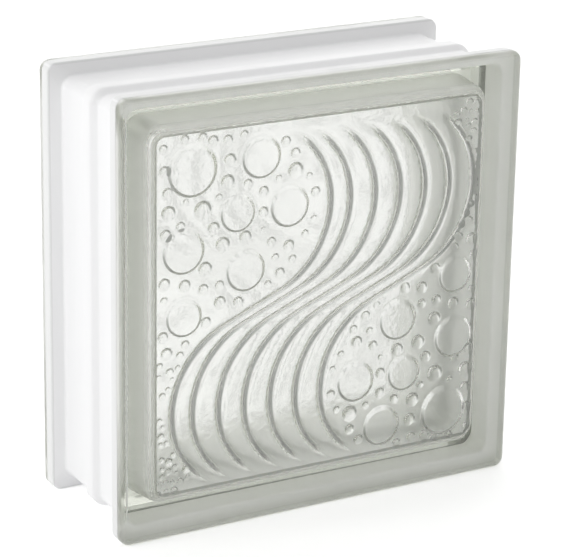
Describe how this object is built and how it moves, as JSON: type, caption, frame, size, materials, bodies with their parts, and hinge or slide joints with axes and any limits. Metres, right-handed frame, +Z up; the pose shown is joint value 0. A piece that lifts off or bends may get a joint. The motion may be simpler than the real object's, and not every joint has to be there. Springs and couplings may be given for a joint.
{
  "type": "glass block",
  "caption": "Square hollow pressed-glass building block with a wave and bubble pattern inside its faces and white coated edges.",
  "frame": {"origin": "middle of the underside, midway between the two faces, where the block stands on its flanges", "axes": "+Z up, +Y from the front face to the rear face, +X to the right seen from the front"},
  "size_m": [0.1968, 0.0794, 0.1969],
  "materials": {
    "glass": "clear pressed soda-lime glass, fire polished, faintly green",
    "edge_coating": "white factory edge coating, satin"
  },
  "bodies": {
    "root": {"front_half": "glass", "rear_half": "glass", "edge_coating": "edge_coating"}
  },
  "joints": []
}
